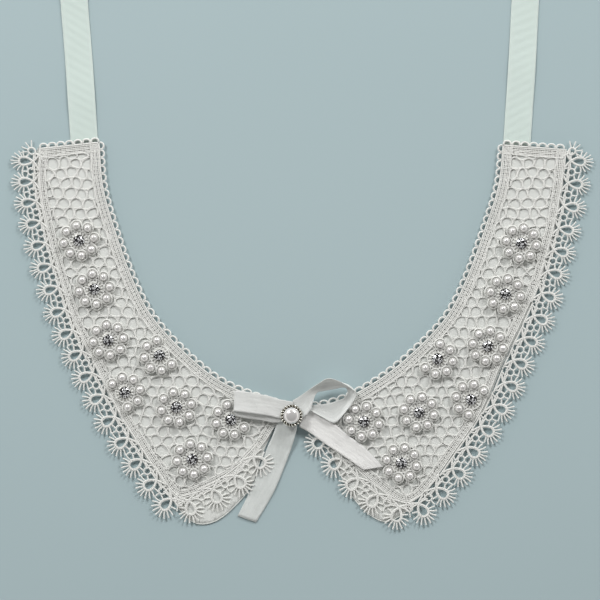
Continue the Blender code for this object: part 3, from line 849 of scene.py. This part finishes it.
def turned_mesh(name, profile, sides):
    """A turned shape about the origin. The profile runs up from the axis and back to it."""
    shape = bmesh.new()
    rings = []
    for radius, height in profile:
        if radius == 0.0:
            rings.append([shape.verts.new((0, 0, height * MM))])
            continue
        rings.append([shape.verts.new((radius * MM * math.cos(math.tau * i / sides),
                                       radius * MM * math.sin(math.tau * i / sides), height * MM))
                      for i in range(sides)])
    for lower, upper in zip(rings, rings[1:]):
        for i in range(sides):
            j = (i + 1) % sides
            if len(lower) == 1:
                shape.faces.new((lower[0], upper[j], upper[i]))
            elif len(upper) == 1:
                shape.faces.new((lower[i], lower[j], upper[0]))
            else:
                shape.faces.new((lower[i], lower[j], upper[j], upper[i]))
    bmesh.ops.recalc_face_normals(shape, faces=shape.faces)
    mesh = bpy.data.meshes.new(name)
    shape.to_mesh(mesh)
    shape.free()
    mesh.shade_smooth()
    return mesh


petal_ring = [(2.95 * math.cos(math.tau * i / 20), 2.95 * math.sin(math.tau * i / 20), 0.0)
              for i in range(20)]
petal_pattern = cord_pattern("petal", [(petal_ring, True, 0.42)])
star_paths = []
for index in range(16):
    angle = math.tau * index / 16
    far = 5.5 if index % 2 else 4.8
    star_paths.append(([(3.0 * math.cos(angle), 3.0 * math.sin(angle), 0.35),
                        (far * math.cos(angle), far * math.sin(angle), 0.0)], False, 0.42))
star_ring = [(STAR_RADIUS * math.cos(math.tau * i / 24), STAR_RADIUS * math.sin(math.tau * i / 24),
              -0.05) for i in range(24)]
star_paths.append((star_ring, True, 0.40))
star_pattern = cord_pattern("star", star_paths)
pad_mesh = turned_mesh("pad", ((0.0, -0.5), (5.6, -0.5), (5.6, 0.0), (0.0, 0.16)), 24)
pad_pattern = add_object("pad", pad_mesh, thread_finish)

pearl_finish, graph, shader = new_finish(
    "pearl_lacquer", {"Coat Weight": 1.0, "Coat Roughness": 0.04, "Metallic": 0.38})
drive(graph, shader,
      Base_Color=graph.mixed(graph.clouds(120.0, 2.0), (0.67, 0.66, 0.645), (0.77, 0.76, 0.745)),
      Roughness=0.15 + 0.06 * graph.clouds(700.0))
bead = [(PEARL_RADIUS * math.sin(math.radians(a)), -PEARL_RADIUS * math.cos(math.radians(a)))
        for a in (36, 66, 90, 110, 128, 146, 163)]
pearl_pattern = add_object("pearl", turned_mesh(
    "pearl", [(0.0, -PEARL_RADIUS)] + bead + [(0.0, PEARL_RADIUS)], 16), pearl_finish)

for side in ("left", "right"):
    shake = random.Random(5)
    petals = []
    beads = []
    for x, y, angle in petal_places(side):
        petals.append((x, y, PETAL_HEIGHT, angle, 1.0, 1.0, 1.0))
        size = shake.uniform(0.97, 1.01)
        beads.append((x, y, PEARL_HEIGHT, shake.uniform(0, 6), size, size, size))
    stars = [(x, y, PETAL_HEIGHT, math.radians(turn), 1.0, 1.0, 1.0)
             for x, y, turn, _ in FLOWERS[side]]
    pads = [(x, y, PETAL_HEIGHT - 0.2, 0.0, 1.0, 1.0, 1.0) for x, y, _, _ in FLOWERS[side]]
    pads += [(x, y, PETAL_HEIGHT - 0.2, angle, 0.5, 0.5, 1.0) for x, y, angle in petal_places(side)]
    petal_work = add_copies(side + "_petals", petals, petal_pattern, thread_finish)
    star_work = add_copies(side + "_stars", stars, star_pattern, thread_finish)
    pad_work = add_copies(side + "_pads", pads, pad_pattern, thread_finish)
    pearls = add_copies(side + "_pearls", beads, pearl_pattern, pearl_finish)
    for piece in (petal_work, star_work, pad_work):
        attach(piece, "root")
    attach(pearls, "root")
    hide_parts(*[f"{side}_flower_{n}" for n in range(1, 9)])
for pattern in (petal_pattern, star_pattern, pad_pattern, pearl_pattern):
    bpy.data.objects.remove(pattern)

# Stones: foil-backed cut glass, one glued in a thin metal cup in the middle of each flower. The light
# and dark from facet to facet is painted reflection: each facet's base colour is black, dark grey or
# white.
STONE_SIDES = 18


def stone_mesh(name):
    """A round brilliant crown: table, star and kite facets, each with a random value for its painted
    reflection.
    """
    shape = bmesh.new()
    shade = shape.faces.layers.float.new("facet")
    turns = (0.0, 0.5, 0.0, 0.5, 0.0)
    crown = ((3.3, 0.0), (3.15, 0.5), (2.5, 1.2), (1.75, 1.6), (0.95, 1.74))
    rings = []
    for (radius, height), turn in zip(crown, turns):
        rings.append([shape.verts.new((
            radius * MM * math.cos(math.tau * (i + turn) / STONE_SIDES),
            radius * MM * math.sin(math.tau * (i + turn) / STONE_SIDES), height * MM))
            for i in range(STONE_SIDES)])
    faces = []
    for level, (lower, upper) in enumerate(zip(rings, rings[1:])):
        step = 1 if level % 2 == 0 else 0
        for i in range(STONE_SIDES):
            j = (i + 1) % STONE_SIDES
            if step:
                faces.append(shape.faces.new((lower[i], lower[j], upper[i])))
                faces.append(shape.faces.new((lower[j], upper[j], upper[i])))
            else:
                faces.append(shape.faces.new((lower[i], upper[j], upper[i])))
                faces.append(shape.faces.new((lower[i], lower[j], upper[j])))
    centre = shape.verts.new((0, 0, 1.78 * MM))
    top = rings[-1]
    for i in range(STONE_SIDES):
        faces.append(shape.faces.new((top[i], top[(i + 1) % STONE_SIDES], centre)))
    faces.append(shape.faces.new(rings[0][::-1]))
    # Each facet gets a random value that later picks its base colour: painted reflection, black, dark grey
    # or white.
    shake = random.Random(23)
    for face in faces:
        face[shade] = shake.random()
    bmesh.ops.recalc_face_normals(shape, faces=shape.faces)
    mesh = bpy.data.meshes.new(name)
    shape.to_mesh(mesh)
    shape.free()
    return mesh


glass_finish, graph, shader = new_finish(
    "cut_glass", {"Roughness": 0.04, "Coat Weight": 1.0, "Coat Roughness": 0.02})
# Painted reflection: the facet value sets each facet's base colour to black, dark grey or white, as a
# stand-in for the glitter of the glass.
facet = graph.attribute("facet")
ramp = graph.node("ShaderNodeValToRGB", None, {"Fac": facet}, "Color")
stops = ramp.socket.node.color_ramp
stops.interpolation = "CONSTANT"
stops.elements[0].color = (0.004, 0.004, 0.005, 1.0)
stops.elements[1].position = 0.68
stops.elements[1].color = (0.12, 0.125, 0.13, 1.0)
bright = stops.elements.new(0.76)
bright.color = (0.97, 0.98, 0.99, 1.0)
drive(graph, shader, Base_Color=ramp, Metallic=0.25 * facet)
stone_pattern = add_object("stone", stone_mesh("stone"), glass_finish)

metal_finish, graph, shader = new_finish("pale_gilt", {"Metallic": 1.0})
drive(graph, shader,
      Base_Color=graph.mixed(graph.clouds(300.0), (0.66, 0.64, 0.56), (0.92, 0.91, 0.87)),
      Roughness=0.16 + 0.12 * graph.clouds(900.0))
cup_pattern = add_object("cup", turned_mesh(
    "cup", ((0.0, 0.0), (3.25, 0.0), (3.45, 0.5), (3.35, 0.8), (3.2, 0.65), (0.0, 0.5)), 24), metal_finish)
for side in ("left", "right"):
    shake = random.Random(31 if side == "left" else 37)
    places = [(x, y, 3.0, shake.uniform(0, 6), 1.0, 1.0, 1.0) for x, y, _, _ in FLOWERS[side]]
    seats = [(x, y, 2.4, 0.0, 1.0, 1.0, 1.0) for x, y, _, _ in FLOWERS[side]]
    stones = add_copies(side + "_stones", places, stone_pattern, glass_finish)
    stones.data.shade_flat()
    cups = add_copies(side + "_stone_cups", seats, cup_pattern, metal_finish)
    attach(stones, "root")
    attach(cups, "root")
    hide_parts(*[f"{side}_stone_{n}" for n in range(1, 9)])
bpy.data.objects.remove(stone_pattern)
bpy.data.objects.remove(cup_pattern)

# Ties: 15 mm ribbed ribbon, machine sewn under the back band of each leaf and left with a plain cut
# end. Both lie on the table and drift a little apart.
TIE_WIDTH = 15.0
TIE_LINE = {
    "left": ((-119.9, 148.8), (-122.9, 194.0), (-125.5, 227.0), (-130.5, 300.0), (-136.0, 399.0)),
    "right": ((118.3, 147.3), (121.3, 194.0), (123.0, 227.0), (127.0, 300.0), (131.0, 399.0)),
}
TIE_SLACK = {"left": ((0.10, 0.5), (0.34, 0.35), (0.62, 0.55), (0.85, 0.3)),
             "right": ((0.16, 0.4), (0.40, 0.5), (0.70, 0.35), (0.90, 0.5))}


def ribbon_mesh(name, rows, across, lift):
    """A ribbon through rows of (edge a, edge b). lift(v) raises the cloth across its width."""
    shape = bmesh.new()
    uv = shape.loops.layers.uv.new("cloth")
    run = [0.0]
    middles = [(Vector(row[:3]) + Vector(row[3:])) / 2 for row in rows]
    for here, there in zip(middles, middles[1:]):
        run.append(run[-1] + (there - here).length)
    grid = []
    for index, row in enumerate(rows):
        a = Vector(row[:3])
        b = Vector(row[3:])
        before = max(index - 1, 0)
        after = min(index + 1, len(rows) - 1)
        normal = (middles[after] - middles[before]).cross(b - a).normalized()
        line = []
        for step in range(across + 1):
            v = step / across
            place = a.lerp(b, v) + normal * lift(run[index], v)
            line.append(shape.verts.new(to_frame(*place)))
        grid.append(line)
    for index in range(len(rows) - 1):
        for step in range(across):
            face = shape.faces.new((grid[index][step], grid[index + 1][step],
                                    grid[index + 1][step + 1], grid[index][step + 1]))
            corners = ((index, step), (index + 1, step), (index + 1, step + 1), (index, step + 1))
            for loop, (i, s) in zip(face.loops, corners):
                loop[uv].uv = (run[i], s / across)
    mesh = bpy.data.meshes.new(name)
    shape.to_mesh(mesh)
    shape.free()
    mesh.shade_smooth()
    return mesh, run[-1]


def face_up(mesh):
    """Turn a flat sheet over if it faces the table."""
    if sum(polygon.normal.z * polygon.area for polygon in mesh.polygons) < 0:
        mesh.flip_normals()


tie_finish, graph, shader = new_finish("ribbed_ribbon", {"Roughness": 0.55, "Sheen Weight": 0.4})
cloth = graph.node("ShaderNodeUVMap", {"uv_map": "cloth"})
split = graph.node("ShaderNodeSeparateXYZ", None, {0: cloth})
width_wise = Wire(graph, split.socket.node.outputs[1])
ribs = (split * (math.tau / 0.62)).sine()
edge = ((2.0 * width_wise - 1.0).size()) ** 14.0
drive(graph, shader,
      Base_Color=graph.mixed(edge, (0.67, 0.78, 0.73), (0.80, 0.89, 0.84)),
      Normal=graph.bump(ribs + 0.4 * graph.clouds(800.0) + 1.5 * edge, 0.00008))
for side in ("left", "right"):
    path = smooth_line(TIE_LINE[side], 24)
    rows = [(a.x, a.y, 0.0, b.x, b.y, 0.0) for a, b in
            zip(shifted(path, TIE_WIDTH / 2), shifted(path, -TIE_WIDTH / 2))]
    reach = sum((b - a).length for a, b in zip(path, path[1:]))

    def tie_lift(run, v):
        """Height of the cloth: raised selvedges, and a few places where it rides off the table."""
        height = 0.42
        for share, rise in TIE_SLACK[side]:
            height += rise * math.exp(-((run / reach - share) / 0.05) ** 2)
        return height + 0.12 * abs(2 * v - 1) ** 8

    mesh, long = ribbon_mesh(side + "_tie_ribbon", rows, 12, lambda run, v: -tie_lift(run, v))
    tie = add_object(side + "_tie_ribbon", mesh, tie_finish)
    for vertex in mesh.vertices:
        vertex.co.z = abs(vertex.co.z)
    face_up(mesh)
    wall = tie.modifiers.new("wall", "SOLIDIFY")
    wall.thickness = 0.3 * MM
    wall.offset = -1.0
    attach(tie, "root")
    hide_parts(side + "_tie")

# Bow: 10 mm satin ribbon. The left loop lies flat on the lace, the right one stands and turns over
# once, and two tails run down to ends cut straight across. All are caught under the button. The
# satin is thin; each piece takes a set share of a darker, greener satin colour, painted shade that also
# stands in for the table seen through it.
LEFT_LOOP = (
    (-8.2, 5.4, 4.4, -8.6, -4.6, 4.4), (-14.5, 6.3, 4.4, -15.0, -5.3, 4.4),
    (-22.0, 7.8, 4.5, -22.2, -4.0, 4.5), (-34.0, 9.4, 4.5, -34.8, -2.1, 4.5),
    (-36.8, 10.6, 4.9, -37.2, -0.6, 4.9), (-37.4, 12.0, 5.7, -37.6, 1.0, 5.7),
    (-36.6, 12.4, 6.5, -36.8, 1.0, 6.5), (-33.5, 12.3, 6.8, -33.6, 0.7, 6.8),
    (-18.0, 9.4, 6.6, -18.6, -1.3, 6.6), (-12.5, 7.7, 6.0, -13.0, -2.6, 6.0),
    (-8.2, 6.8, 5.7, -8.8, -3.2, 5.7), (-4.4, 6.2, 5.6, -5.4, -2.6, 5.6),
)
RIGHT_LOOP = (
    (-5.2, 6.9, 5.9, -1.6, -4.4, 5.9), (-1.1, 9.4, 5.8, 4.0, 0.9, 5.8),
    (4.4, 13.2, 7.0, 6.0, 5.9, 5.6), (9.4, 16.5, 8.5, 8.2, 11.0, 4.6),
    (13.8, 19.0, 9.0, 11.8, 12.0, 4.4), (18.7, 18.2, 9.0, 17.2, 13.0, 4.2),
    (24.2, 15.4, 8.6, 22.3, 14.0, 4.0), (27.3, 13.2, 8.0, 24.3, 13.4, 4.0),
    (29.8, 10.5, 6.8, 25.0, 11.5, 4.0), (27.8, 6.0, 5.4, 24.4, 9.3, 4.2),
    (23.6, 0.2, 4.9, 21.8, 7.6, 4.4), (17.8, -5.4, 4.6, 15.6, 5.6, 4.5),
    (11.2, -2.3, 4.4, 9.4, 4.6, 4.4), (3.2, 2.0, 4.4, 3.9, 4.4, 4.4),
)
LEFT_TAIL = (
    (-11.6, 3.0, 3.1, -2.2, -0.8, 3.1), (-12.9, -1.5, 3.1, -2.6, -5.0, 3.1),
    (-13.8, -5.5, 3.0, -2.9, -8.8, 2.9), (-15.2, -10.0, 2.6, -4.0, -13.4, 2.4),
    (-16.8, -14.0, 2.1, -5.2, -17.6, 1.8), (-18.4, -17.5, 1.6, -6.4, -21.2, 1.2),
    (-27.5, -40.7, 0.5, -15.4, -43.5, 0.5), (-35.5, -56.9, 0.5, -25.3, -60.5, 0.5),
)
RIGHT_TAIL = (
    (2.0, 4.2, 3.1, -1.6, -7.6, 3.1), (11.0, -1.6, 3.1, 4.4, -11.0, 3.1),
    (17.6, -5.8, 3.1, 10.6, -15.6, 3.1), (24.6, -11.8, 3.1, 18.6, -21.0, 3.1),
    (34.0, -18.8, 3.1, 27.0, -26.6, 3.1), (40.5, -25.2, 3.1, 31.5, -29.8, 3.1),
    (44.8, -29.7, 3.1, 33.8, -31.3, 3.1),
)


def ribbon_line(rows, steps):
    """A smooth curve through rows that are unevenly spaced, without overshooting any of them."""
    rows = [Vector(row) for row in rows]
    spans = [(there - here).length for here, there in zip(rows, rows[1:])]
    slopes = [(rows[1] - rows[0]) / spans[0]]
    for index in range(1, len(rows) - 1):
        slopes.append((rows[index + 1] - rows[index - 1]) / (spans[index - 1] + spans[index]))
    slopes.append((rows[-1] - rows[-2]) / spans[-1])
    line = []
    for index, span in enumerate(spans):
        for step in range(steps):
            t = step / steps
            line.append(rows[index] * (2 * t ** 3 - 3 * t ** 2 + 1)
                        + rows[index + 1] * (3 * t ** 2 - 2 * t ** 3)
                        + slopes[index] * span * (t ** 3 - 2 * t ** 2 + t)
                        + slopes[index + 1] * span * (t ** 3 - t ** 2))
    return line + [rows[-1]]


satin_finish, graph, shader = new_finish(
    "bow_satin", {"Roughness": 0.34, "Sheen Weight": 0.35, "Sheen Roughness": 0.4,
                  "Anisotropic": 0.45})
cloth = graph.node("ShaderNodeUVMap", {"uv_map": "cloth"})
split = graph.node("ShaderNodeSeparateXYZ", None, {0: cloth})
width_wise = Wire(graph, split.socket.node.outputs[1])
weft = (split * (math.tau / 0.30)).sine()
edge = ((2.0 * width_wise - 1.0).size()) ** 20.0
# Painted sheen: lengthwise streaks that make the satin colour lighter and darker along the ribbon; the
# same streaks also raise a small bump.
long_way = graph.node("ShaderNodeCombineXYZ", None, {0: 0.06 * split, 1: 3.2 * width_wise})
painted_sheen_streak = graph.node("ShaderNodeTexNoise", None, {"Vector": long_way, "Scale": 1.6, "Detail": 3.0},
                    "Fac")
satin_with_painted_sheen = graph.mixed(painted_sheen_streak, (0.74, 0.74, 0.72), (0.93, 0.925, 0.905))
# A darker, greener copy of the satin colour: painted shade, mixed in by each piece's share.
satin_painted_shade_and_sheen = graph.mixed(painted_sheen_streak, (0.50, 0.55, 0.53), (0.70, 0.745, 0.725))
drive(graph, shader,
      Base_Color=graph.mixed(graph.attribute("painted_shade_share"), satin_with_painted_sheen, satin_painted_shade_and_sheen),
      Normal=graph.bump(0.5 * weft + 0.3 * graph.clouds(600.0) + 2.0 * edge + 4.0 * painted_sheen_streak, 0.00006))


def add_bow_ribbon(name, rows, node, painted_shade_share, curl, ripple):
    """A satin ribbon, curled most at one place, with ripples of (run, width, height, slant)."""
    path = ribbon_line(rows, 10)
    stretch, fullest = curl

    def lift(run, v):
        share = math.exp(-((run - fullest) / 26.0) ** 2)
        height = (0.25 + stretch * share) * (1 - (2 * v - 1) ** 2)
        for at, wide, rise, slant in ripple:
            height += rise * math.exp(-((run - at - slant * (v - 0.5)) / wide) ** 2)
        return height

    mesh, long = ribbon_mesh(name, path, 12, lift)
    # The piece's share of the darker satin copy, painted shade, the same all over the piece.
    mesh.attributes.new("painted_shade_share", "FLOAT", "POINT").data.foreach_set(
        "value", [painted_shade_share] * len(mesh.vertices))
    piece = add_object(name, mesh, satin_finish)
    wall = piece.modifiers.new("wall", "SOLIDIFY")
    wall.thickness = 0.25 * MM
    wall.offset = 0.0
    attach(piece, "root")
    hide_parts(node)
    return piece


# The number after each node name is that piece's share of painted shade.
add_bow_ribbon("left_loop_satin", LEFT_LOOP, "bow_left_loop",
               0.3, (0.0, 0.0), ((16, 3.0, -0.25, 2.0), (44, 2.2, -0.35, 3.0), (52, 3.0, 0.25, -2.0)))
add_bow_ribbon("right_loop_satin", RIGHT_LOOP, "bow_right_loop",
               0.45, (1.3, 32.0), ((12, 3.0, 0.2, 2.0), (60, 3.5, -0.25, 3.0)))
add_bow_ribbon("left_tail_satin", LEFT_TAIL, "bow_left_tail",
               0.7, (0.0, 0.0), ((14, 3.0, 0.3, 3.0), (30, 5.0, -0.15, 4.0), (46, 4.0, 0.2, -3.0)))
add_bow_ribbon("right_tail_satin", RIGHT_TAIL, "bow_right_tail",
               0.0, (0.0, 0.0), ((12, 4.0, 0.2, 3.0), (32, 5.0, -0.15, -3.0)))

# Button: a domed pearl glued in a dark aged-metal cup, edged with a twisted rope of pale gilt beads, on a
# short sewn shank.
BUTTON_AT = (-5.7, -1.3)
ROPE_BEADS = 21
ROPE_RADIUS = 5.4
ROPE_HEIGHT = 7.65

button_finish, graph, shader = new_finish(
    "button_lacquer", {"Coat Weight": 1.0, "Coat Roughness": 0.04, "Metallic": 0.5})
drive(graph, shader,
      Base_Color=graph.mixed(graph.clouds(90.0, 2.0), (0.72, 0.70, 0.69), (0.82, 0.80, 0.79)),
      Roughness=0.16 + 0.06 * graph.clouds(700.0))
dome_pattern = add_object("dome", turned_mesh(
    "dome", ((0.0, 7.5), (4.45, 7.5), (4.58, 8.2), (4.42, 9.0), (4.0, 9.75), (3.35, 10.4),
             (2.5, 10.9), (1.4, 11.25), (0.0, 11.38)), 40), button_finish)
dark_finish, graph, shader = new_finish("aged_metal", {"Metallic": 1.0})
drive(graph, shader,
      Base_Color=graph.mixed(graph.clouds(500.0), (0.035, 0.033, 0.022), (0.14, 0.13, 0.09)),
      Roughness=0.35 + 0.15 * graph.clouds(900.0))
seat_pattern = add_object("seat", turned_mesh(
    "seat", ((0.0, 3.9), (1.9, 3.9), (1.9, 6.4), (5.2, 6.6), (5.9, 7.0), (5.6, 7.5), (4.75, 7.7),
             (4.7, 7.4), (0.0, 7.35)), 32), dark_finish)
bead_pattern = add_object("rope_bead", turned_mesh(
    "rope_bead", ((0.0, -1.0), (0.5, -0.87), (0.87, -0.5), (1.0, 0.0), (0.87, 0.5), (0.5, 0.87),
                  (0.0, 1.0)), 12), metal_finish)
here = [(*BUTTON_AT, 0.0, 0.0, 1.0, 1.0, 1.0)]
button_pearl = add_copies("button_pearl", here, dome_pattern, button_finish)
button_seat = add_copies("button_seat", here, seat_pattern, dark_finish)
shake = random.Random(3)
rope = []
for index in range(ROPE_BEADS):
    angle = math.tau * index / ROPE_BEADS
    size = shake.uniform(0.75, 1.1)
    rope.append((BUTTON_AT[0] + ROPE_RADIUS * math.cos(angle),
                 BUTTON_AT[1] + ROPE_RADIUS * math.sin(angle), ROPE_HEIGHT,
                 angle + math.radians(28), 1.05 * size, 0.46 * size, 0.75))
button_rope = add_copies("button_rope", rope, bead_pattern, metal_finish)
for piece in (button_pearl, button_seat, button_rope):
    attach(piece, "root")
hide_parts("bow_button_pearl")
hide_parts("bow_button_setting")
for pattern in (dome_pattern, seat_pattern, bead_pattern):
    bpy.data.objects.remove(pattern)
